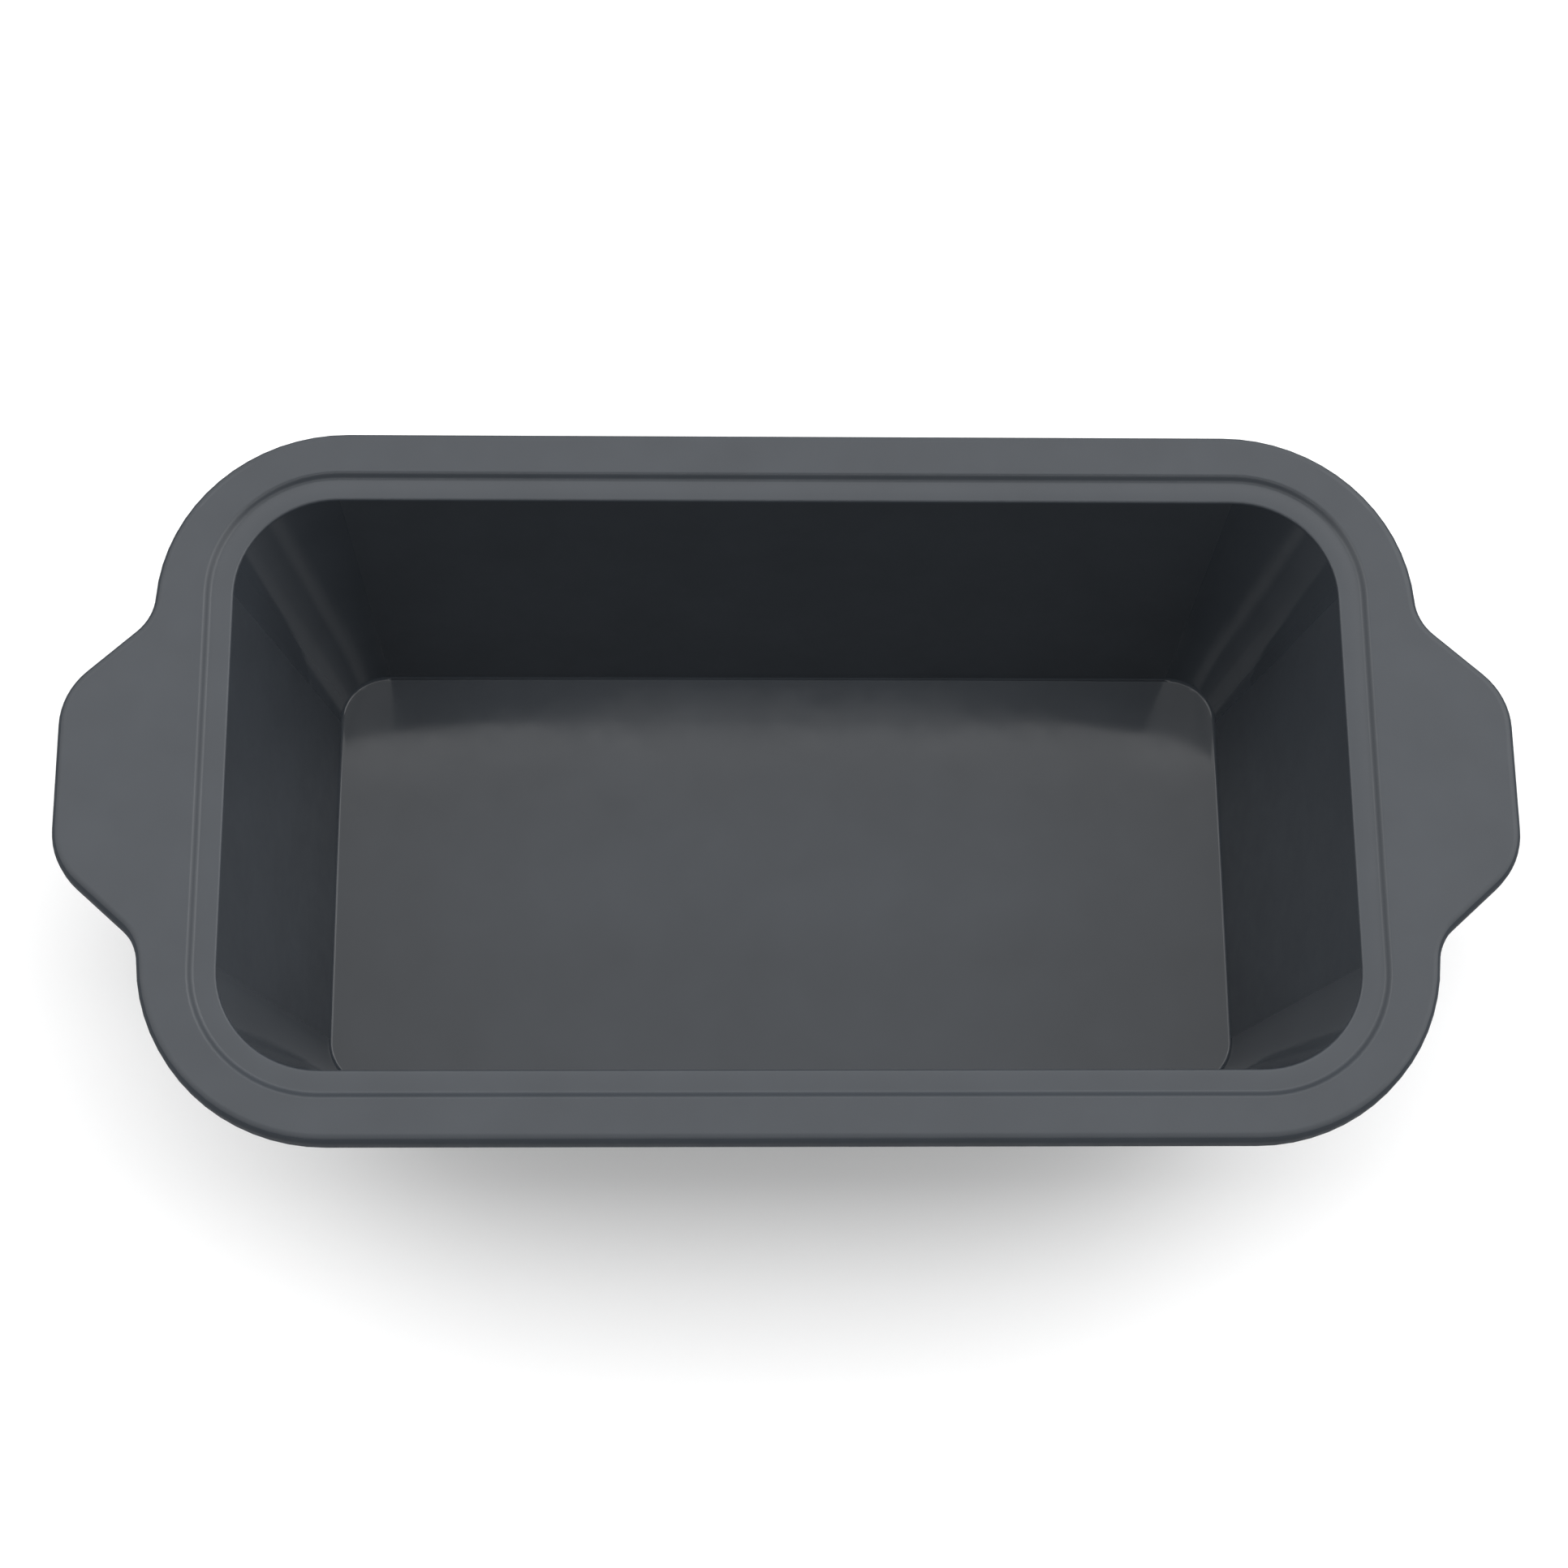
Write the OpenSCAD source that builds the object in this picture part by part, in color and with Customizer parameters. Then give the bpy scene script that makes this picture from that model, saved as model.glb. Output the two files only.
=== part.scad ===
// Silicone loaf pan with a wide flange, two end grips and a steel frame moulded into the rim.
// Millimetres, +Z up. The origin is at the middle of the underside, and the pan's length lies along X.

/* [Cavity] */
// Length of the cavity at its mouth
mouth_l = 216; // [170:1:300]
// Width of the cavity at its mouth
mouth_w = 115; // [90:1:160]
// Corner radius of the cavity at its mouth
mouth_r = 19.8; // [14:0.2:30]
// Depth from the mouth to the cavity's floor
cavity_depth = 66.3; // [40:0.1:90]
// How far each end wall leans in between the mouth and the floor
end_draft = 14.9; // [4:0.1:18]
// How far each side wall leans in between the mouth and the floor
side_draft = 12.7; // [4:0.1:16]
// Corner radius of the cavity at its floor
floor_r = 9.8; // [6:0.2:14]
// Radius where the walls meet the floor
floor_edge_r = 0.6; // [0.4:0.1:4]

/* [Walls] */
// Thickness of the silicone walls
wall_t = 2; // [1.2:0.1:2.8]
// Thickness of the silicone floor
floor_t = 1.8; // [1.2:0.1:4]
// Radius along the outside edge of the underside
base_edge_r = 3; // [1.5:0.1:5]

/* [Rim] */
// Width of the lowered ledge round the mouth
ledge_w = 5.35; // [4:0.05:8]
// How far the ledge lies below the flange's top
ledge_drop = 1.1; // [0.4:0.1:1.6]
// Width of the flange outside the ledge, at the pan's ends
end_land = 9.75; // [8:0.05:16]
// Width of the flange outside the ledge, at the pan's sides
side_land = 8.7; // [7:0.05:16]
// Corner radius of the flange's outline
flange_r = 36.4; // [28:0.2:40]
// Thickness of the flange and the grips
flange_t = 4.5; // [3.7:0.1:7]

/* [Grips] */
// How far each grip reaches out from the flange's end
grip_reach = 17.2; // [10:0.1:30]
// Width of a grip's tip between the sharp corners that its radius rounds off
grip_tip_w = 34.2; // [26:0.1:44]
// Angle between a grip's slanted edge and the pan's length
grip_slant = 42.3; // [36:0.1:55]
// Radius of a grip's outer corners
grip_tip_r = 15; // [6:0.1:18]
// Radius of the hollow where a grip runs into the flange
grip_root_r = 10; // [5:0.1:14]

/* [Rim frame] */
// Thickness of the frame's steel sheet
frame_t = 1; // [0.6:0.1:1.2]
// Silicone between the frame and the flange's outer edge
frame_edge_cover = 3; // [1.5:0.1:4]
// Silicone between the frame and the cavity's mouth
frame_mouth_cover = 4; // [3:0.1:5]
// Diameter of the frame's holes, which the silicone locks through
lock_hole_d = 3.6; // [2:0.1:4.5]
// Distance between the lock holes along the pan's sides
lock_hole_pitch = 25; // [16:1:40]
// Diameter of the holes under the flange, where the mould's pins held the frame
pin_hole_d = 2.8; // [1.5:0.1:3.5]

/* [Hidden] */

shell_fn = 32;       // sides of the circles at the tub's corners
hole_fn = 48;        // sides of a drawn hole
corner_step = 5;     // degrees between an outline's points on its arcs
edge_steps = 4;      // steps in a rounded bottom edge
level_t = 0.01;      // thickness of a level that a hull joins
cut_over = 1;        // how far a cut runs past the face that it opens

// Heights. The frame lies in the middle of the silicone under the ledge.
mouth_z = floor_t + cavity_depth;
flange_top_z = mouth_z + ledge_drop;
flange_base_z = flange_top_z - flange_t;
frame_cover = (mouth_z - flange_base_z - frame_t) / 2;
frame_z = flange_base_z + frame_cover;

// Half sizes of the flange and the grips
flange_x = mouth_l / 2 + ledge_w + end_land;
flange_y = mouth_w / 2 + ledge_w + side_land;
grip_x = flange_x + grip_reach;

// The middle of the frame's band, along the sides and in the grips
band_y = (mouth_w / 2 + frame_mouth_cover + flange_y - frame_edge_cover) / 2;
grip_band_x = (mouth_l / 2 + frame_mouth_cover + grip_x - frame_edge_cover) / 2;

// Pitches of lock holes between the middle of a side and the start of its corner, and the pins between them
lock_hole_steps = floor((flange_x - flange_r) / lock_hole_pitch);
PIN_STEPS = [0.5, lock_hole_steps - 0.5];

// Centres of the three arcs in a quarter of the outline. The root's arc touches the grip's slanted edge
// and the flange's corner, so it lies where a line beside that edge crosses a circle round that corner.
corner_centre = [flange_x - flange_r, flange_y - flange_r];
tip_centre = [grip_x - grip_tip_r, grip_tip_w / 2 - grip_tip_r * (1 - sin(grip_slant)) / cos(grip_slant)];
slant_along = [-cos(grip_slant), sin(grip_slant)];
slant_out = [sin(grip_slant), cos(grip_slant)];
slant_start = tip_centre + slant_out * (grip_tip_r + grip_root_r);
from_corner = slant_start - corner_centre;
reach = flange_r + grip_root_r;
to_middle = -from_corner * slant_along;
half_chord = sqrt(reach * reach - from_corner * from_corner + to_middle * to_middle);
root_centre = slant_start + slant_along * (to_middle - half_chord);
root_angle = atan2(root_centre.y - corner_centre.y, root_centre.x - corner_centre.x);

// Points along an arc from angle a to angle b
function arc(centre, r, a, b) =
    let (steps = ceil(abs(b - a) / corner_step))
    [for (i = [0:steps]) let (t = a + (b - a) * i / steps) centre + r * [cos(t), sin(t)]];

function reversed(points) = [for (i = [len(points) - 1:-1:0]) points[i]];

// A whole outline from the quarter of it where x and y are positive
function four_quarters(q) = concat(
    q,
    reversed([for (p = q) [-p.x, p.y]]),
    [for (p = q) -p],
    reversed([for (p = q) [p.x, -p.y]])
);

// The flange with its grips, moved in by d all round
function flange_outline(d) = four_quarters(concat(
    arc(tip_centre, grip_tip_r - d, 0, 90 - grip_slant),
    arc(root_centre, grip_root_r + d, 270 - grip_slant, 180 + root_angle),
    arc(corner_centre, flange_r - d, root_angle, 90)
));

// The cavity's mouth, moved out by d all round
function mouth_outline(d) = four_quarters(
    arc([mouth_l / 2 - mouth_r, mouth_w / 2 - mouth_r], mouth_r + d, 0, 90)
);

// The cavity's length or width at height z, and its corner radius there
function cavity_size(mouth, draft, z) = mouth - 2 * draft * (mouth_z - z) / cavity_depth;
function cavity_corner(z) = mouth_r - (mouth_r - floor_r) * (mouth_z - z) / cavity_depth;

module plate(outline, z, t) {
    translate([0, 0, z])
        linear_extrude(t)
            polygon(outline);
}

// One thin level of the cavity's shape at height z, moved out by d all round
module level(z, d) {
    r = cavity_corner(z) + d;
    x = cavity_size(mouth_l, end_draft, z) / 2 + d - r;
    y = cavity_size(mouth_w, side_draft, z) / 2 + d - r;
    for (sx = [-1, 1], sy = [-1, 1])
        translate([sx * x, sy * y, z])
            cylinder(r = r, h = level_t, $fn = shell_fn);
}

// The cavity's shape from base_z to top_z, moved out by d, with its bottom edge rounded to edge_r
module tub(base_z, top_z, d, edge_r) {
    hull() {
        for (i = [0:edge_steps]) {
            t = 90 * i / edge_steps;
            level(base_z + edge_r * (1 - cos(t)), d - edge_r * (1 - sin(t)));
        }
        level(top_z, d);
    }
}

module lock_holes() {
    z = frame_z - cut_over;
    h = frame_t + 2 * cut_over;
    for (y = [-1, 1], i = [-lock_hole_steps:lock_hole_steps])
        translate([i * lock_hole_pitch, y * band_y, z])
            cylinder(d = lock_hole_d, h = h, $fn = hole_fn);
    for (x = [-1, 1], y = [-1, 1])
        translate([x * grip_band_x, y * grip_tip_w / 4, z])
            cylinder(d = lock_hole_d, h = h, $fn = hole_fn);
}

// Holes from the flange's underside to the frame
module pin_holes() {
    z = flange_base_z - cut_over;
    h = frame_cover + cut_over;
    for (x = [-1, 1], y = [-1, 1], i = PIN_STEPS)
        translate([x * i * lock_hole_pitch, y * band_y, z])
            cylinder(d = pin_hole_d, h = h, $fn = hole_fn);
    for (x = [-1, 1])
        translate([x * grip_band_x, 0, z])
            cylinder(d = pin_hole_d, h = h, $fn = hole_fn);
}

// The tub, the flange and the grips are one moulding, with a pocket that the frame fills
module pan_body() {
    color("dimgray")
        difference() {
            union() {
                tub(0, (flange_base_z + mouth_z) / 2, wall_t, base_edge_r);
                plate(flange_outline(0), flange_base_z, flange_t);
            }
            tub(floor_t, (mouth_z + flange_top_z) / 2, 0, floor_edge_r);
            plate(mouth_outline(ledge_w), mouth_z, ledge_drop + cut_over);
            rim_frame();
            pin_holes();
        }
}

// A flat ring stamped from sheet, which follows the flange and reaches into both grips
module rim_frame() {
    color("silver")
        difference() {
            plate(flange_outline(frame_edge_cover), frame_z, frame_t);
            plate(mouth_outline(frame_mouth_cover), frame_z - cut_over, frame_t + 2 * cut_over);
            lock_holes();
        }
}

pan_body();
rim_frame();
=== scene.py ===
"""Silicone loaf pan with a steel frame moulded into its rim, modelled and lit as a Blender add-on."""
import math

import bpy
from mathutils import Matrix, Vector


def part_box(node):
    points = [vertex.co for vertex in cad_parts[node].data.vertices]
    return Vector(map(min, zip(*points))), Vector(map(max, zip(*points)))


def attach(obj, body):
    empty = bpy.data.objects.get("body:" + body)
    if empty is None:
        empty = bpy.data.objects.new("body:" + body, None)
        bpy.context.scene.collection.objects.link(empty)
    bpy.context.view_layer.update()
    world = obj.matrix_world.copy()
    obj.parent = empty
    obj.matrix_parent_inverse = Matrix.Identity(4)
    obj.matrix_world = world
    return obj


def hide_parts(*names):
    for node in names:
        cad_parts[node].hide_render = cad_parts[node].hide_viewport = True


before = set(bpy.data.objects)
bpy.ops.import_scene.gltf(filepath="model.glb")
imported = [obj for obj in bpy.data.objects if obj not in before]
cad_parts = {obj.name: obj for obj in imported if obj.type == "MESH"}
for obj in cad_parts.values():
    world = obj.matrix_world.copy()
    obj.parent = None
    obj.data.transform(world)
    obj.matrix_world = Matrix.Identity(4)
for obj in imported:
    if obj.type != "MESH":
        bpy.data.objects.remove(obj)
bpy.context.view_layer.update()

bl_info = {
    "name": "Silicone loaf pan",
    "version": (1, 0, 0),
    "blender": (4, 5, 0),
    "location": "3D View > Sidebar > Loaf Pan",
    "description": "Models a moulded silicone loaf pan, finishes its steel rim frame and sets the stage",
    "category": "Object",
}

MM = 0.001
EDGE_TOLERANCE = 0.02 * MM
MERGE_DISTANCE = 0.002 * MM
FLOOR_SIZE = 12.0
FLOOR_GAP = 0.2 * MM

# The height of a face's unit normal, above which the face is flat and below which it is steep
FLAT = 0.95
STEEP = 0.8

# Most of a noise texture's values lie between these
NOISE_LOW = 0.3
NOISE_HIGH = 0.7

# The frame's boxes. CAD_BOX is taken before any new piece is made.
PAN_LOW, PAN_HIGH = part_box("pan_body")
FRAME_LOW, FRAME_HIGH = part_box("rim_frame")


def length(name, description, millimetres):
    """A length property that is given in millimetres and kept in metres."""
    return bpy.props.FloatProperty(
        name=name,
        description=description,
        default=millimetres * MM,
        min=0.0,
        precision=5,
        unit="LENGTH",
    )


def linear(hex_code):
    """An sRGB hex code as linear red, green, blue and alpha."""
    channels = [int(hex_code[i:i + 2], 16) / 255.0 for i in (1, 3, 5)]
    return [c / 12.92 if c <= 0.04045 else ((c + 0.055) / 1.055) ** 2.4 for c in channels] + [1.0]


def colour(name, description, hex_code):
    """A colour property that is given as an sRGB hex code and kept linear."""
    return bpy.props.FloatVectorProperty(
        name=name,
        description=description,
        default=linear(hex_code),
        size=4,
        min=0.0,
        max=1.0,
        subtype="COLOR",
    )


class PanSizes(bpy.types.PropertyGroup):
    """Sizes of the silicone moulding that can be changed by themselves."""

    mouth_radius: length("Mouth radius", "Corner radius of the cavity at its mouth", 19.8)
    floor_radius: length("Floor radius", "Corner radius of the cavity at its floor", 9.8)
    end_draft: length("End draft", "How far each end wall leans in down to the floor", 14.9)
    side_draft: length("Side draft", "How far each side wall leans in down to the floor", 12.7)
    wall: length("Wall", "Thickness of the walls", 2.0)
    floor: length("Floor", "Thickness of the floor", 1.8)
    ledge: length("Ledge", "Width of the lowered ledge round the mouth", 5.35)
    ledge_drop: length("Ledge drop", "How far the ledge lies below the flange", 1.1)
    end_land: length("End land", "Width of the flange outside the ledge at the ends", 9.75)
    side_land: length("Side land", "Width of the flange outside the ledge at the sides", 8.7)
    flange: length("Flange", "Thickness of the flange and the grips", 4.5)
    flange_radius: length("Flange radius", "Corner radius of the flange's outline", 36.4)
    grip_reach: length("Grip reach", "How far each grip reaches out from the flange", 17.2)
    grip_tip: length("Grip tip", "Width of a grip's tip between its sharp corners", 34.2)
    grip_slant: bpy.props.FloatProperty(
        name="Grip slant",
        description="Angle between a grip's slanted edge and the pan's length",
        default=math.radians(42.3),
        subtype="ANGLE",
    )
    grip_tip_radius: length("Grip tip radius", "Radius of a grip's outer corners", 15.0)
    grip_root_radius: length("Grip root radius", "Radius of the hollow beside a grip", 10.0)
    top_edge: length("Top edge", "Rounding of the flange's upper outside edge", 1.8)
    bottom_edge: length("Bottom edge", "Rounding of the flange's lower outside edge", 0.4)
    riser_width: length("Riser width", "Width of the soft slope from the flange down to the ledge", 1.8)
    ledge_crown: length("Ledge crown", "How far the ledge swells in its middle", 0.08)
    lip: length("Lip", "Rounding of the cavity's upper edge", 0.5)
    floor_fillet: length("Floor fillet", "Radius where the walls meet the floor", 0.6)
    wall_fillet: length("Wall fillet", "Radius where the walls meet the flange outside", 1.5)
    base_edge: length("Base edge", "Rounding of the underside's edge", 3.0)
    pin_hole: length("Pin hole", "Diameter of the holes that the mould's pins leave", 2.8)
    pin_edge: length("Pin edge", "Rounding of the pin holes' far end", 0.1)
    lock_pitch: length("Lock pitch", "Distance of the frame's lock holes, which the pins lie between", 25.0)
    frame_mouth_cover: length("Frame cover", "Silicone between the frame and the cavity's mouth", 4.0)
    floor_curl: length("Floor curl", "How far the floor turns up at the middle of its back edge", 0.36)
    floor_curl_width: length("Floor curl width", "Width of the strip of floor that turns up", 12.0)
    floor_dip: length("Floor dip", "How far the floor sinks at its two corners at the back", 0.2)


class PanColours(bpy.types.PropertyGroup):
    """Colours of the surfaces."""

    silicone: colour("Silicone", "Silicone with a charcoal pigment", "#32363B")
    steel: colour("Steel", "Cold-rolled stainless steel", "#B9B8B4")
    floor: colour("Floor", "The studio floor", "#F8F8F8")


# ---------------------------------------------------------------- helpers for meshes


def start_mesh(name, **plane):
    """Adds a plane as the start of a new piece and opens it for editing, with nothing else selected."""
    bpy.ops.object.select_all(action="DESELECT")
    bpy.ops.mesh.primitive_plane_add(**plane)
    piece = bpy.context.active_object
    piece.name = name
    piece.data.name = name
    bpy.ops.object.mode_set(mode="EDIT")
    bpy.ops.mesh.select_all(action="SELECT")
    return piece


def end_mesh():
    """Points the faces outwards and leaves edit mode, with the piece's place in its mesh."""
    bpy.ops.mesh.select_all(action="SELECT")
    bpy.ops.mesh.normals_make_consistent(inside=False)
    bpy.ops.object.mode_set(mode="OBJECT")
    bpy.ops.object.transform_apply(location=True, rotation=True, scale=True)


def select(piece, kind, wanted):
    """Selects the vertices, edges or faces that wanted(item) picks, in edit mode."""
    bpy.ops.object.mode_set(mode="EDIT")
    bpy.ops.mesh.select_mode(type={"vertices": "VERT", "edges": "EDGE", "polygons": "FACE"}[kind])
    bpy.ops.mesh.select_all(action="DESELECT")
    bpy.ops.object.mode_set(mode="OBJECT")
    for item in getattr(piece.data, kind):
        item.select = not item.hide and wanted(item)
    bpy.ops.object.mode_set(mode="EDIT")


def apply_boolean(piece, tool, operation):
    """Joins tool to piece or cuts it away, and removes tool."""
    bpy.ops.object.select_all(action="DESELECT")
    bpy.context.view_layer.objects.active = piece
    piece.select_set(True)
    modifier = piece.modifiers.new(operation.title(), "BOOLEAN")
    modifier.operation = operation
    modifier.solver = "EXACT"
    modifier.object = tool
    bpy.ops.object.modifier_apply(modifier=modifier.name)
    bpy.data.objects.remove(tool)


# ---------------------------------------------------------------- the silicone moulding


class PanShape:
    """The moulding's heights and outlines, worked out from the sizes and the frame's box."""

    corner_steps = 16
    fewest_arc_steps = 3
    bend_steps = 5
    pin_sides = 32
    pin_edge_steps = 2
    grid_x = 4.0 * MM
    grid_y = 2.0 * MM

    # The floor turns up by equal shares, each along this much of the back edge's length
    curl_reaches = (0.40, 0.56, 0.72)

    def __init__(self, sizes):
        self.sizes = sizes
        self.top = PAN_HIGH.z
        self.under = self.top - sizes.flange
        self.mouth = self.top - sizes.ledge_drop
        self.depth = self.mouth - sizes.floor
        self.grip_x = PAN_HIGH.x
        self.flange_x = self.grip_x - sizes.grip_reach
        self.flange_y = PAN_HIGH.y
        self.mouth_x = self.flange_x - sizes.end_land - sizes.ledge
        self.mouth_y = self.flange_y - sizes.side_land - sizes.ledge
        self.slope_top = sizes.ledge + 0.25 * sizes.riser_width
        self.slope_foot = self.slope_top - sizes.riser_width

    def section(self, height, out):
        """Half length, half width and corner radius of the cavity at a height, moved out all round."""
        down = max(0.0, (self.mouth - height) / self.depth)
        sizes = self.sizes
        return (
            self.mouth_x - sizes.end_draft * down + out,
            self.mouth_y - sizes.side_draft * down + out,
            sizes.mouth_radius - (sizes.mouth_radius - sizes.floor_radius) * down + out,
        )

    def bend(self, start, end, down_first):
        """Points (height, out) on a quarter turn between two points, without the first of them."""
        points = []
        for i in range(1, self.bend_steps + 1):
            turn = math.radians(90.0) * i / self.bend_steps
            early, late = math.sin(turn), 1.0 - math.cos(turn)
            fall, inward = (early, late) if down_first else (late, early)
            points.append((
                start[0] + (end[0] - start[0]) * fall,
                start[1] + (end[1] - start[1]) * inward,
            ))
        return points

    def lathe(self, name, profile):
        """A closed solid with rounded corners, narrowing downwards through the profile's rings."""
        x, y, radius = self.section(*profile[1])
        piece = start_mesh(name, size=1.0, location=(0.0, 0.0, profile[0][0]))
        bpy.ops.transform.resize(value=(2.0 * x, 2.0 * y, 1.0))
        bpy.ops.mesh.bevel(
            offset=radius,
            offset_type="OFFSET",
            segments=self.corner_steps,
            profile=0.5,
            affect="VERTICES",
        )
        bpy.ops.mesh.select_all(action="SELECT")
        bpy.ops.mesh.flip_normals()
        height = profile[0][0]
        first = True
        for ring in profile[1:]:
            new_x, new_y, new_radius = self.section(*ring)
            inset = radius - new_radius
            if first:
                bpy.ops.mesh.extrude_region_move(
                    TRANSFORM_OT_translate={"value": (0.0, 0.0, ring[0] - height)}
                )
                first = False
            else:
                bpy.ops.mesh.inset(thickness=inset, depth=height - ring[0], use_even_offset=True)
                self.draw_in(piece, x - new_x - inset, y - new_y - inset)
            x, y, radius, height = new_x, new_y, new_radius, ring[0]
        end_mesh()
        return piece

    def draw_in(self, piece, ends, sides):
        """Moves the selected ring's halves towards the middle, along the length and across it."""
        if max(abs(ends), abs(sides)) < EDGE_TOLERANCE:
            return
        bpy.ops.object.mode_set(mode="OBJECT")
        ring = [vertex.index for vertex in piece.data.vertices if vertex.select]
        for axis, move in ((0, ends), (1, sides)):
            for side in (-1.0, 1.0):
                half = {i for i in ring if piece.data.vertices[i].co[axis] * side > 0.0}
                bpy.ops.object.mode_set(mode="EDIT")
                select(piece, "vertices", lambda vertex: vertex.index in half)
                shift = [0.0, 0.0, 0.0]
                shift[axis] = -side * move
                bpy.ops.transform.translate(value=shift)
                bpy.ops.object.mode_set(mode="OBJECT")
        bpy.ops.object.mode_set(mode="EDIT")
        members = set(ring)
        select(piece, "vertices", lambda vertex: vertex.index in members)
        bpy.ops.mesh.select_mode(type="FACE")

    def outer_tub(self):
        """The walls' outside, from inside the flange down to the rounded edge of the underside."""
        sizes = self.sizes
        wall = sizes.wall
        overlap = sizes.flange / 3.0
        flare = (self.under, wall + sizes.wall_fillet)
        base = (sizes.base_edge, wall)
        return self.lathe("outer_tub", [
            (self.under + overlap, wall + sizes.wall_fillet),
            flare,
            *self.bend(flare, (self.under - sizes.wall_fillet, wall), down_first=False),
            base,
            *self.bend(base, (0.0, wall - sizes.base_edge), down_first=True),
        ])

    def cavity(self):
        """What is cut away: the slope to the ledge, the ledge, the lip and the tapering cavity."""
        sizes = self.sizes
        lip = (self.mouth, sizes.lip)
        fillet = (sizes.floor + sizes.floor_fillet, 0.0)
        riser_steps = 2 * self.bend_steps
        riser = []
        for i in range(1, riser_steps + 1):
            share = i / riser_steps
            riser.append((
                self.top - sizes.ledge_drop * (1.0 - math.cos(math.pi * share)) / 2.0,
                self.slope_top - sizes.riser_width * share,
            ))
        crown = []
        for i in range(1, self.bend_steps + 1):
            share = i / self.bend_steps
            crown.append((
                self.mouth + sizes.ledge_crown * math.sin(math.pi * share),
                self.slope_foot + (sizes.lip - self.slope_foot) * share,
            ))
        return self.lathe("cavity", [
            (self.top + sizes.flange, self.slope_top),
            (self.top, self.slope_top),
            *riser,
            *crown,
            *self.bend(lip, (self.mouth - sizes.lip, 0.0), down_first=False),
            fillet,
            *self.bend(fillet, (sizes.floor, -sizes.floor_fillet), down_first=True),
        ])

    def inside(self, face, out):
        """Whether a face's middle lies inside the cavity's outline moved out all round."""
        x, y, z = face.center
        half_x, half_y, _radius = self.section(z, out)
        return abs(x) < half_x and abs(y) < half_y and z > EDGE_TOLERANCE

    def on_walls(self, face):
        """Whether a face lies on the cavity's walls or floor, below the lip."""
        return face.center.z < self.mouth - self.sizes.lip and self.inside(face, EDGE_TOLERANCE)

    def on_ledge(self, face):
        """Whether a face lies on the lip, the ledge or the slope to it."""
        above = self.mouth - self.sizes.lip < face.center.z < self.top - EDGE_TOLERANCE
        return above and self.inside(face, self.sizes.ledge + self.sizes.riser_width / 2.0)

    def on_edge(self, face):
        """Whether a face lies on the flange's outside edge, past the start of its rounding."""
        level = self.under + EDGE_TOLERANCE < face.center.z < self.top - EDGE_TOLERANCE
        outwards = face.normal.x * face.center.x + face.normal.y * face.center.y > 0.0
        return level and outwards and abs(face.normal.z) < STEEP

    def on_floor(self, face):
        """Whether a face lies on the cavity's floor."""
        level = self.sizes.floor + self.sizes.floor_fillet / 2.0
        return face.center.z < level and face.normal.z > FLAT and self.inside(face, 0.0)

    def warp_floor(self, piece):
        """Cuts the cavity's floor into a grid and lets it bow a little, as thin silicone does."""
        sizes = self.sizes
        half_x, half_y, _radius = self.section(sizes.floor, 0.0)
        for axis, half, step in ((0, half_x, self.grid_x), (1, half_y, self.grid_y)):
            count = int(half / step)
            normal = [0.0, 0.0, 0.0]
            normal[axis] = 1.0
            for i in range(-count, count + 1):
                select(piece, "polygons", self.on_floor)
                place = [0.0, 0.0, 0.0]
                place[axis] = i * step
                bpy.ops.mesh.bisect(plane_co=place, plane_no=normal)
        select(piece, "polygons", self.on_floor)
        bpy.ops.mesh.hide(unselected=True)
        curl = sizes.floor_curl / len(self.curl_reaches)
        for share in self.curl_reaches:
            self.bow_edge(piece, 0.0, share * half_x, curl, sizes.floor_curl_width, "SHARP")
        corner = half_x - sizes.floor_radius
        self.bow_edge(piece, corner, half_x, -sizes.floor_dip, 2.0 * sizes.floor_curl_width, "SMOOTH")
        bpy.ops.mesh.reveal(select=False)
        bpy.ops.object.mode_set(mode="OBJECT")

    def bow_edge(self, piece, near, far, lift, width, falloff):
        """Lifts the floor's back edge from near to far of its middle, both ways, and what is round it."""
        back = self.section(self.sizes.floor, 0.0)[1] - 1.5 * self.sizes.floor_fillet
        select(piece, "vertices", lambda vertex: vertex.co.y > back and near <= abs(vertex.co.x) <= far)
        bpy.ops.transform.translate(
            value=(0.0, 0.0, lift),
            use_proportional_edit=True,
            proportional_edit_falloff=falloff,
            proportional_size=width,
        )

    def flange_plate(self):
        """The flange with its grips: a quarter of its outline is drawn, mirrored, filled and thickened."""
        sizes = self.sizes
        slant = sizes.grip_slant
        along = (-math.cos(slant), math.sin(slant))
        outward = (math.sin(slant), math.cos(slant))
        corner = (self.flange_x - sizes.flange_radius, self.flange_y - sizes.flange_radius)
        tip = (
            self.grip_x - sizes.grip_tip_radius,
            sizes.grip_tip / 2.0 - sizes.grip_tip_radius * (1.0 - math.sin(slant)) / math.cos(slant),
        )
        # The hollow's centre: beside the slanted edge by its radius, and as far from the corner's
        # centre as both radii together.
        spread = sizes.grip_tip_radius + sizes.grip_root_radius
        start = (tip[0] + outward[0] * spread, tip[1] + outward[1] * spread)
        away = (start[0] - corner[0], start[1] - corner[1])
        reach = sizes.flange_radius + sizes.grip_root_radius
        middle = -(away[0] * along[0] + away[1] * along[1])
        chord = math.sqrt(reach ** 2 - away[0] ** 2 - away[1] ** 2 + middle ** 2)
        straight = middle - chord
        root = (start[0] + along[0] * straight, start[1] + along[1] * straight)
        root_angle = math.atan2(root[1] - corner[1], root[0] - corner[0])

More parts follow.
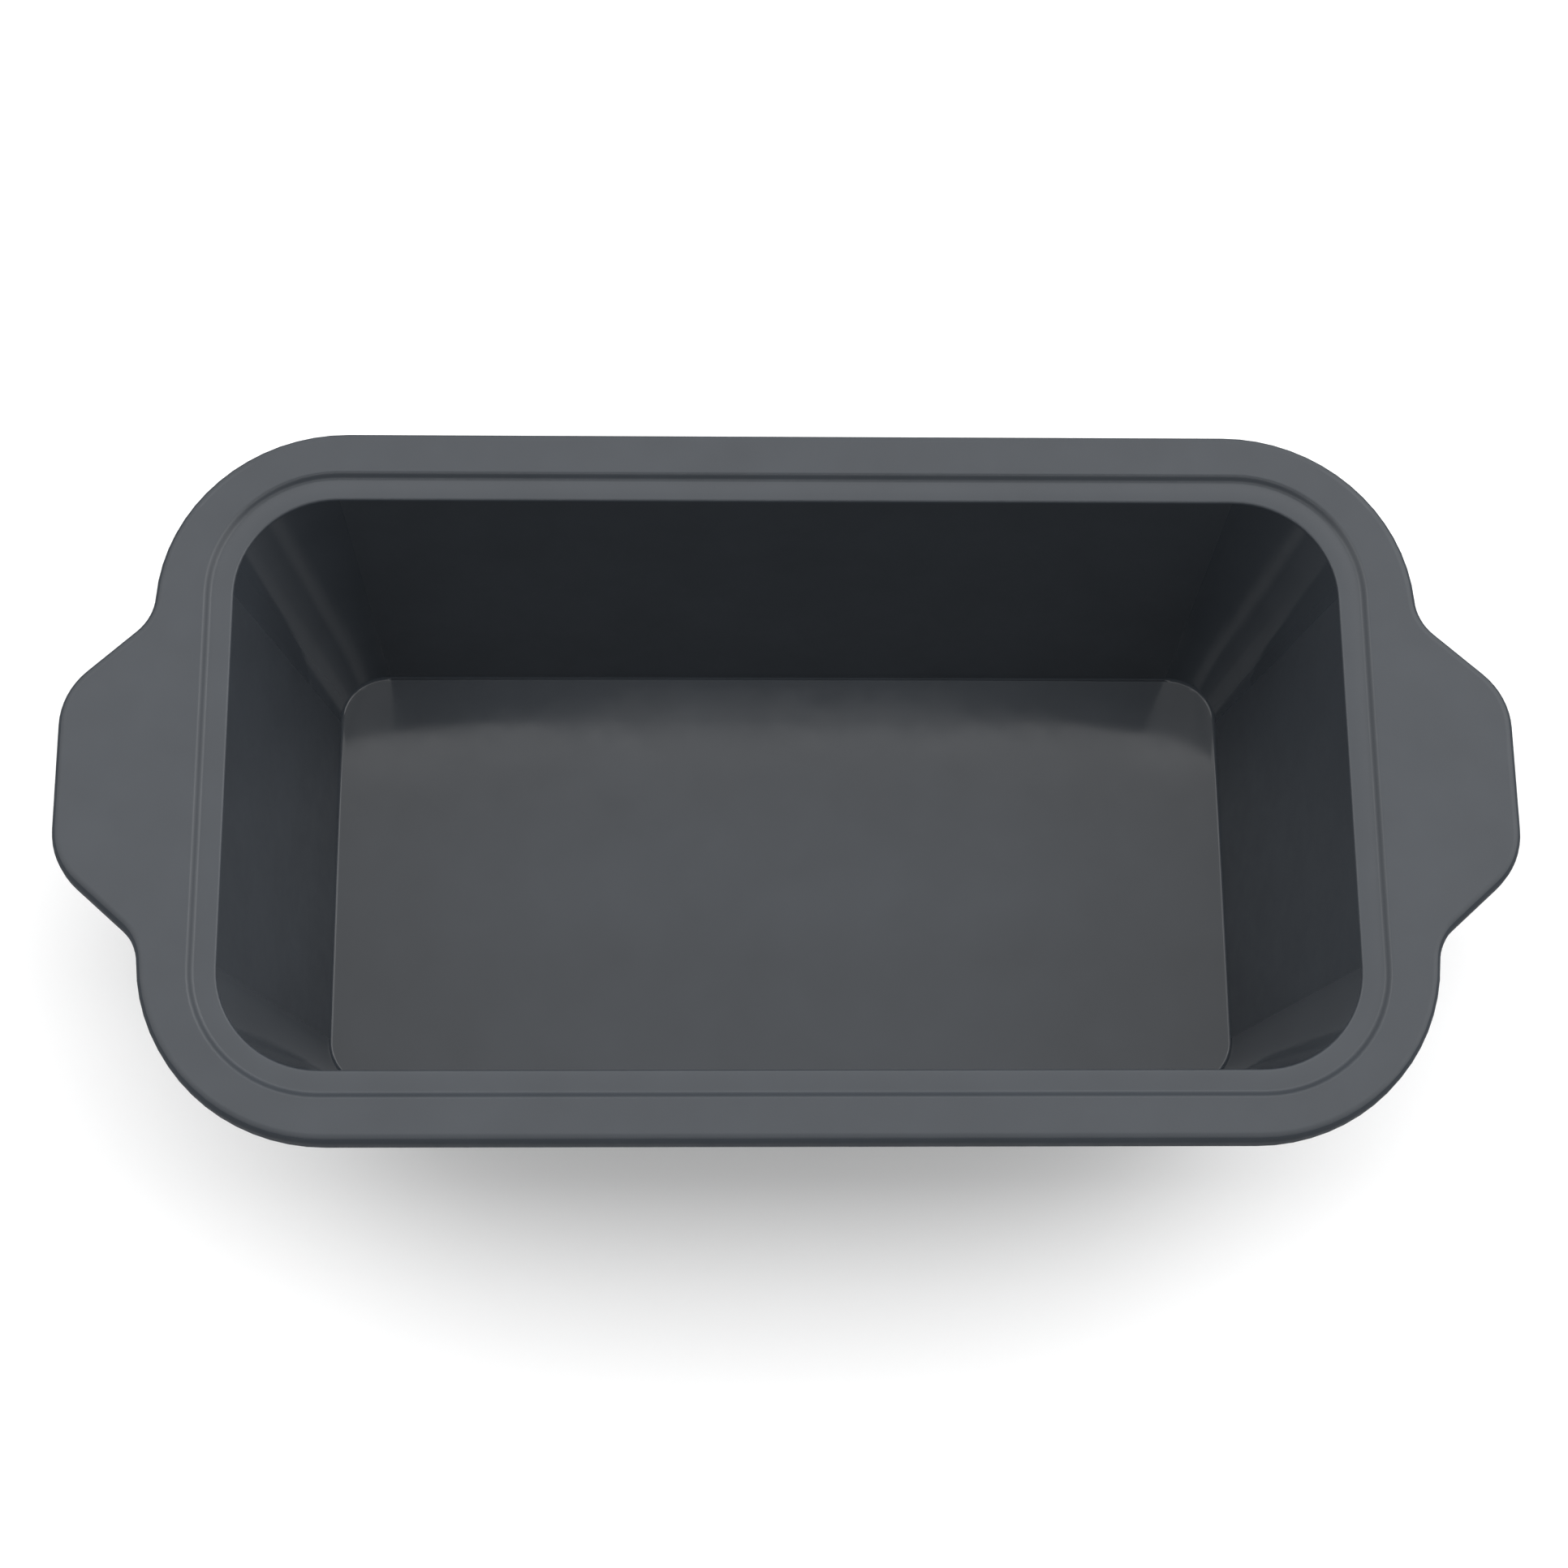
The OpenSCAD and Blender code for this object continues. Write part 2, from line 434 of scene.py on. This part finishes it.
        piece = start_mesh("flange_plate", size=MM, location=(self.grip_x, 0.0, self.top))
        bpy.ops.mesh.merge(type="CENTER")
        self.draw_line(0.0, tip[1])
        self.draw_arc(tip, math.radians(90.0) - slant)
        self.draw_line(along[0] * straight, along[1] * straight)
        self.draw_arc(root, slant + root_angle - math.radians(90.0))
        self.draw_arc(corner, math.radians(90.0) - root_angle)
        self.draw_line(-corner[0], 0.0)
        bpy.ops.object.mode_set(mode="OBJECT")
        bpy.ops.object.transform_apply(location=True, rotation=True, scale=True)
        mirror = piece.modifiers.new("Mirror", "MIRROR")
        mirror.use_axis = (True, True, False)
        mirror.merge_threshold = EDGE_TOLERANCE
        bpy.ops.object.modifier_apply(modifier=mirror.name)
        bpy.ops.object.mode_set(mode="EDIT")
        bpy.ops.mesh.select_all(action="SELECT")
        bpy.ops.mesh.remove_doubles(threshold=EDGE_TOLERANCE)
        bpy.ops.mesh.edge_face_add()
        bpy.ops.mesh.extrude_region_move(
            TRANSFORM_OT_translate={"value": (0.0, 0.0, -sizes.flange)}
        )
        for height, radius in ((self.top, sizes.top_edge), (self.under, sizes.bottom_edge)):
            def level(edge):
                ends = [piece.data.vertices[i].co.z for i in edge.vertices]
                return max(abs(z - height) for z in ends) < EDGE_TOLERANCE
            select(piece, "edges", level)
            bpy.ops.mesh.bevel(offset=radius, segments=self.bend_steps, profile=0.5, affect="EDGES")
        end_mesh()
        return piece

    def draw_line(self, x, y):
        """Extrudes the selected vertex into a straight line."""
        bpy.ops.mesh.extrude_vertices_move(TRANSFORM_OT_translate={"value": (x, y, 0.0)})

    def draw_arc(self, centre, angle):
        """Spins the selected vertex round a centre, anticlockwise where the angle is positive."""
        steps = max(self.fewest_arc_steps, round(abs(angle) / math.radians(90.0) * self.corner_steps))
        bpy.ops.mesh.spin(
            steps=steps,
            angle=-angle,
            center=(centre[0], centre[1], self.top),
            axis=(0.0, 0.0, 1.0),
        )

    def pin_places(self):
        """Where the mould's pins touched the frame: along the sides, and in the middle of each grip."""
        sizes = self.sizes
        band_y = (self.mouth_y + sizes.frame_mouth_cover + FRAME_HIGH.y) / 2.0
        grip_x = (self.mouth_x + sizes.frame_mouth_cover + FRAME_HIGH.x) / 2.0
        steps = int((self.flange_x - sizes.flange_radius) / sizes.lock_pitch)
        places = [(-grip_x, 0.0), (grip_x, 0.0)]
        for along in (0.5 * sizes.lock_pitch, (steps - 0.5) * sizes.lock_pitch):
            places += [(x * along, y * band_y) for x in (-1.0, 1.0) for y in (-1.0, 1.0)]
        return places

    def pin_cutters(self):
        """Cutters for the holes that reach from the flange's underside into the frame's pocket."""
        end = (FRAME_LOW.z + FRAME_HIGH.z) / 2.0
        bpy.ops.object.select_all(action="DESELECT")
        bpy.ops.mesh.primitive_cylinder_add(
            vertices=self.pin_sides,
            radius=self.sizes.pin_hole / 2.0,
            depth=2.0 * (end - self.under),
            location=(0.0, 0.0, self.under),
        )
        first = bpy.context.active_object
        bpy.ops.object.mode_set(mode="EDIT")
        select(first, "edges", lambda edge: all(first.data.vertices[i].co.z < 0.0 for i in edge.vertices))
        bpy.ops.mesh.bevel(offset=self.sizes.pin_edge, segments=self.pin_edge_steps, affect="EDGES")
        bpy.ops.object.mode_set(mode="OBJECT")
        cutters = []
        for x, y in self.pin_places():
            cutter = first.copy()
            cutter.data = first.data.copy()
            cutter.location = (x, y, self.under)
            bpy.context.collection.objects.link(cutter)
            cutters.append(cutter)
        bpy.data.objects.remove(first)
        bpy.ops.object.select_all(action="DESELECT")
        for cutter in cutters:
            cutter.select_set(True)
        bpy.context.view_layer.objects.active = cutters[0]
        bpy.ops.object.join()
        bpy.ops.object.transform_apply(location=True, rotation=True, scale=True)
        return bpy.context.active_object

    def frame_cutter(self):
        """A merged copy of the steel frame, which cuts the pocket that it lies in."""
        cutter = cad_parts["rim_frame"].copy()
        cutter.data = cutter.data.copy()
        cutter.parent = None
        bpy.context.collection.objects.link(cutter)
        bpy.ops.object.select_all(action="DESELECT")
        bpy.context.view_layer.objects.active = cutter
        cutter.select_set(True)
        bpy.ops.object.mode_set(mode="EDIT")
        bpy.ops.mesh.select_all(action="SELECT")
        bpy.ops.mesh.remove_doubles(threshold=MERGE_DISTANCE)
        bpy.ops.object.mode_set(mode="OBJECT")
        return cutter


class LOAFPAN_OT_body(bpy.types.Operator):
    """Model the silicone moulding: tub, flange, ledge and grips, with the pocket for the frame"""

    bl_idname = "loaf_pan.body"
    bl_label = "Silicone body"

    def execute(self, context):
        sizes = context.scene.loaf_pan_sizes
        shape = PanShape(sizes)
        body = shape.flange_plate()
        apply_boolean(body, shape.outer_tub(), "UNION")
        apply_boolean(body, shape.cavity(), "DIFFERENCE")
        apply_boolean(body, shape.frame_cutter(), "DIFFERENCE")
        apply_boolean(body, shape.pin_cutters(), "DIFFERENCE")
        shape.warp_floor(body)
        body.name = "silicone_body"
        body.data.name = "silicone_body"
        self.finish_surface(body, shape, context.scene.loaf_pan_colours)
        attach(body, "root")
        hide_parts("pan_body")
        return {"FINISHED"}

    def finish_surface(self, body, shape, colours):
        """Smooths the shading and gives each zone of the mould its finish."""
        body.data.materials.clear()
        body.data.materials.append(satin_silicone(colours))
        zones = (
            (polished_silicone(colours), shape.on_walls),
            (smooth_silicone(colours), shape.on_ledge),
            (trimmed_silicone(colours), shape.on_edge),
        )
        for slot, (material, wanted) in enumerate(zones, start=1):
            body.data.materials.append(material)
            select(body, "polygons", wanted)
            body.active_material_index = slot
            bpy.ops.object.material_slot_assign()
        bpy.ops.object.mode_set(mode="OBJECT")
        bpy.ops.object.select_all(action="DESELECT")
        body.select_set(True)
        bpy.ops.object.shade_smooth_by_angle(angle=math.radians(35.0))
        weighted = body.modifiers.new("Weighted normals", "WEIGHTED_NORMAL")
        weighted.keep_sharp = True
        bpy.ops.object.modifier_apply(modifier=weighted.name)


class LOAFPAN_OT_frame(bpy.types.Operator):
    """Finish the stamped steel frame that lies in the rim"""

    bl_idname = "loaf_pan.frame"
    bl_label = "Steel rim frame"

    def execute(self, context):
        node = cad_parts["rim_frame"]
        material = rolled_steel(context.scene.loaf_pan_colours)
        if not node.material_slots:
            node.data.materials.append(material)
        for slot in node.material_slots:
            slot.material = material
        return {"FINISHED"}


# ---------------------------------------------------------------- materials


def add_node(tree, kind, inputs=None, **settings):
    """Adds a node with its settings. inputs gives each socket a value, or another node's output to link."""
    node = tree.nodes.new(kind)
    for name, value in settings.items():
        setattr(node, name, value)
    for name, value in (inputs or {}).items():
        if isinstance(value, bpy.types.NodeSocket):
            tree.links.new(value, node.inputs[name])
        else:
            node.inputs[name].default_value = value
    return node


def new_material(name):
    """An empty node material and its tree."""
    material = bpy.data.materials.new(name)
    material.use_nodes = True
    material.node_tree.nodes.clear()
    return material, material.node_tree


def ramp(tree, value, places, amounts, shape="LINEAR"):
    """Changes from one amount to another while a value runs between two places, and holds beyond them."""
    change = add_node(tree, "ShaderNodeMapRange", {
        "Value": value,
        "From Min": places[0],
        "From Max": places[1],
        "To Min": amounts[0],
        "To Max": amounts[1],
    }, interpolation_type=shape)
    return change.outputs["Result"]


def varied(tree, vector, size, low, high):
    """A value that wanders softly between low and high in patches of the given size."""
    noise = add_node(tree, "ShaderNodeTexNoise", {"Vector": vector, "Scale": 1.0 / size, "Detail": 2.0})
    return ramp(tree, noise.outputs["Fac"], (NOISE_LOW, NOISE_HIGH), (low, high))


def relief(tree, vector, size, height, under=None):
    """A bumpy normal with lumps of the given size and height, on top of another normal."""
    noise = add_node(tree, "ShaderNodeTexNoise", {"Vector": vector, "Scale": 1.0 / size, "Detail": 2.0})
    bump = add_node(tree, "ShaderNodeBump", {"Height": noise.outputs["Fac"], "Distance": height})
    if under is not None:
        tree.links.new(under, bump.inputs["Normal"])
    return bump.outputs["Normal"]


def silicone(name, colours, roughness, grain, waves, shine=0.5):
    """Charcoal silicone rubber. Its pigment is a little uneven, and its gloss and grain are the mould's.

    grain and waves are each the size and the height of their bumps.
    """
    material, tree = new_material(name)
    place = add_node(tree, "ShaderNodeTexCoord").outputs["Object"]
    pigment = add_node(tree, "ShaderNodeHueSaturation", {
        "Color": colours.silicone,
        "Value": varied(tree, place, 14.0 * MM, 0.95, 1.05),
    })
    wavy = relief(tree, place, *waves)
    shader = add_node(tree, "ShaderNodeBsdfPrincipled", {
        "Base Color": pigment.outputs["Color"],
        "Roughness": varied(tree, place, 5.0 * MM, roughness[0], roughness[1]),
        "IOR": 1.42,
        "Specular IOR Level": shine,
        "Normal": relief(tree, place, *grain, under=wavy),
    })
    add_node(tree, "ShaderNodeOutputMaterial", {"Surface": shader.outputs["BSDF"]})
    return material


def satin_silicone(colours):
    """Moulded against a fine-blasted face: an even satin without a clear reflection.

    The blasted grain is about 0.08 mm, which is drawn at 0.4 mm so that it shows.
    """
    return silicone(
        "satin moulded silicone",
        colours,
        roughness=(0.42, 0.48),
        grain=(0.4 * MM, 0.010 * MM),
        waves=(45.0 * MM, 0.10 * MM),
    )


def trimmed_silicone(colours):
    """Trimmed where the mould closed: a dull, slightly torn edge that takes hardly any light."""
    return silicone(
        "trimmed silicone edge",
        colours,
        roughness=(0.75, 0.85),
        grain=(0.6 * MM, 0.020 * MM),
        waves=(12.0 * MM, 0.05 * MM),
        shine=0.15,
    )


def smooth_silicone(colours):
    """Moulded against a turned and stoned face: the ledge takes a soft, broad highlight."""
    return silicone(
        "smooth moulded silicone",
        colours,
        roughness=(0.30, 0.34),
        grain=(0.5 * MM, 0.004 * MM),
        waves=(30.0 * MM, 0.08 * MM),
    )


def polished_silicone(colours):
    """Moulded against the polished core: dark and glossy, it mirrors the cavity softly."""
    return silicone(
        "polished moulded silicone",
        colours,
        roughness=(0.09, 0.13),
        grain=(0.5 * MM, 0.001 * MM),
        waves=(35.0 * MM, 0.10 * MM),
    )


def rolled_steel(colours):
    """Cold-rolled stainless sheet: bright metal with fine lines along the rolling direction.

    The lines are about 0.03 mm apart, which are drawn 0.15 mm apart and 8 mm long.
    """
    material, tree = new_material("cold-rolled stainless steel")
    place = add_node(tree, "ShaderNodeTexCoord").outputs["Object"]
    along = add_node(tree, "ShaderNodeMapping", {"Vector": place, "Scale": (0.02, 1.0, 1.0)})
    lines = along.outputs["Vector"]
    shader = add_node(tree, "ShaderNodeBsdfPrincipled", {
        "Base Color": colours.steel,
        "Metallic": 1.0,
        "Roughness": varied(tree, lines, 0.15 * MM, 0.28, 0.42),
        "Normal": relief(tree, lines, 0.15 * MM, 0.002 * MM),
    })
    add_node(tree, "ShaderNodeOutputMaterial", {"Surface": shader.outputs["BSDF"]})
    return material


def floor_paper(colours):
    """Matte studio paper: plain and pale, with no highlight."""
    material, tree = new_material("matte studio paper")
    place = add_node(tree, "ShaderNodeTexCoord").outputs["Object"]
    shader = add_node(tree, "ShaderNodeBsdfPrincipled", {
        "Base Color": colours.floor,
        "Roughness": 0.9,
        "Specular IOR Level": 0.2,
        "Normal": relief(tree, place, 0.8 * MM, 0.01 * MM),
    })
    add_node(tree, "ShaderNodeOutputMaterial", {"Surface": shader.outputs["BSDF"]})
    return material


# ---------------------------------------------------------------- the stage


# The name, place, size and radiance of each light, in metres and watts per square metre and steradian
LIGHTS = (
    ("roof_lamp", (0.0, -0.02, 1.0), (2.0, 0.34), 2.0),
    ("roof_cloth", (0.0, 0.26, 1.0), (2.0, 0.22), 1.5),
    ("back_lamp", (0.0, 0.56, 1.0), (2.0, 0.38), 2.2),
    ("front_lamp", (0.0, -0.72, 1.0), (2.0, 0.20), 4.8),
)

# The camera looks down over the pan's near side. Its height is taken from the rim. Lengths are in metres,
# turns in degrees, and the lens and the sensor in millimetres.
CAMERA_PLACE = (-0.0205, -0.2113)
CAMERA_HEIGHT = 0.6228
CAMERA_TURN = (18.606, -1.615, -0.467)
LENS = 78.87
SENSOR = 36.0
NEAREST = 0.01


class LOAFPAN_OT_stage(bpy.types.Operator):
    """Set the pale floor, the soft lights and the camera"""

    bl_idname = "loaf_pan.stage"
    bl_label = "Stage"

    def execute(self, context):
        self.set_floor(context)
        self.set_air(context)
        for light in LIGHTS:
            self.set_light(context, *light)
        self.set_camera(context)
        context.scene.view_settings.view_transform = "Standard"
        return {"FINISHED"}

    def set_floor(self, context):
        """A wide sheet of pale paper, just under the pan."""
        bpy.ops.object.select_all(action="DESELECT")
        bpy.ops.mesh.primitive_plane_add(size=FLOOR_SIZE, location=(0.0, 0.0, PAN_LOW.z - FLOOR_GAP))
        floor = context.active_object
        floor.name = "studio_floor"
        bpy.ops.object.transform_apply(location=True, rotation=True, scale=True)
        floor.data.materials.append(floor_paper(context.scene.loaf_pan_colours))

    def set_air(self, context):
        """White cloth on three sides, brightest at its middle height and on the right, and a dim front."""
        world = bpy.data.worlds.new("studio cloth")
        context.scene.world = world
        world.use_nodes = True
        tree = world.node_tree
        tree.nodes.clear()
        direction = add_node(tree, "ShaderNodeTexCoord").outputs["Generated"]
        parts = add_node(tree, "ShaderNodeSeparateXYZ", {"Vector": direction}).outputs
        foot = ramp(tree, parts["Z"], (0.1, 0.4), (0.4, 1.7), "SMOOTHSTEP")
        roof = ramp(tree, parts["Z"], (0.75, 0.85), (1.0, 0.05), "SMOOTHSTEP")
        front = ramp(tree, parts["Y"], (-0.55, -0.20), (0.05, 1.0), "SMOOTHSTEP")
        right = ramp(tree, parts["X"], (0.1, 0.7), (1.0, 1.5), "SMOOTHSTEP")
        strength = foot
        for share in (roof, front, right):
            product = add_node(tree, "ShaderNodeMath", {0: strength, 1: share}, operation="MULTIPLY")
            strength = product.outputs["Value"]
        glow = add_node(tree, "ShaderNodeBackground", {"Color": linear("#FFFFFF"), "Strength": strength})
        add_node(tree, "ShaderNodeOutputWorld", {"Surface": glow.outputs["Background"]})

    def set_light(self, context, name, place, size, radiance):
        """A soft light that faces straight down. Its power follows from its area and its radiance."""
        bpy.ops.object.light_add(type="AREA", location=place)
        light = context.active_object
        light.name = name
        light.visible_camera = False
        light.data.shape = "RECTANGLE"
        light.data.size, light.data.size_y = size
        light.data.energy = math.pi * size[0] * size[1] * radiance

    def set_camera(self, context):
        """A long lens above the near side."""
        bpy.ops.object.camera_add(
            location=(*CAMERA_PLACE, PAN_HIGH.z + CAMERA_HEIGHT),
            rotation=[math.radians(angle) for angle in CAMERA_TURN],
        )
        camera = context.active_object
        camera.name = "camera"
        camera.data.lens = LENS
        camera.data.sensor_width = SENSOR
        camera.data.clip_start = NEAREST
        context.scene.camera = camera


class LOAFPAN_PT_panel(bpy.types.Panel):
    """Lists the pieces, the stage, the sizes and the colours"""

    bl_idname = "LOAFPAN_PT_panel"
    bl_label = "Loaf Pan"
    bl_space_type = "VIEW_3D"
    bl_region_type = "UI"
    bl_category = "Loaf Pan"

    def draw(self, context):
        layout = self.layout
        for operator in (LOAFPAN_OT_body, LOAFPAN_OT_frame, LOAFPAN_OT_stage):
            layout.operator(operator.bl_idname)
        for title, group in (
            ("Sizes", context.scene.loaf_pan_sizes),
            ("Colours", context.scene.loaf_pan_colours),
        ):
            column = layout.box().column()
            column.label(text=title)
            for name in group.__annotations__:
                column.prop(group, name)


CLASSES = (
    PanSizes,
    PanColours,
    LOAFPAN_OT_body,
    LOAFPAN_OT_frame,
    LOAFPAN_OT_stage,
    LOAFPAN_PT_panel,
)


def register():
    for item in CLASSES:
        bpy.utils.register_class(item)
    bpy.types.Scene.loaf_pan_sizes = bpy.props.PointerProperty(type=PanSizes)
    bpy.types.Scene.loaf_pan_colours = bpy.props.PointerProperty(type=PanColours)


def unregister():
    del bpy.types.Scene.loaf_pan_colours
    del bpy.types.Scene.loaf_pan_sizes
    for item in reversed(CLASSES):
        bpy.utils.unregister_class(item)


def main():
    register()
    bpy.ops.loaf_pan.body()
    bpy.ops.loaf_pan.frame()
    bpy.ops.loaf_pan.stage()


if __name__ == "__main__":
    main()
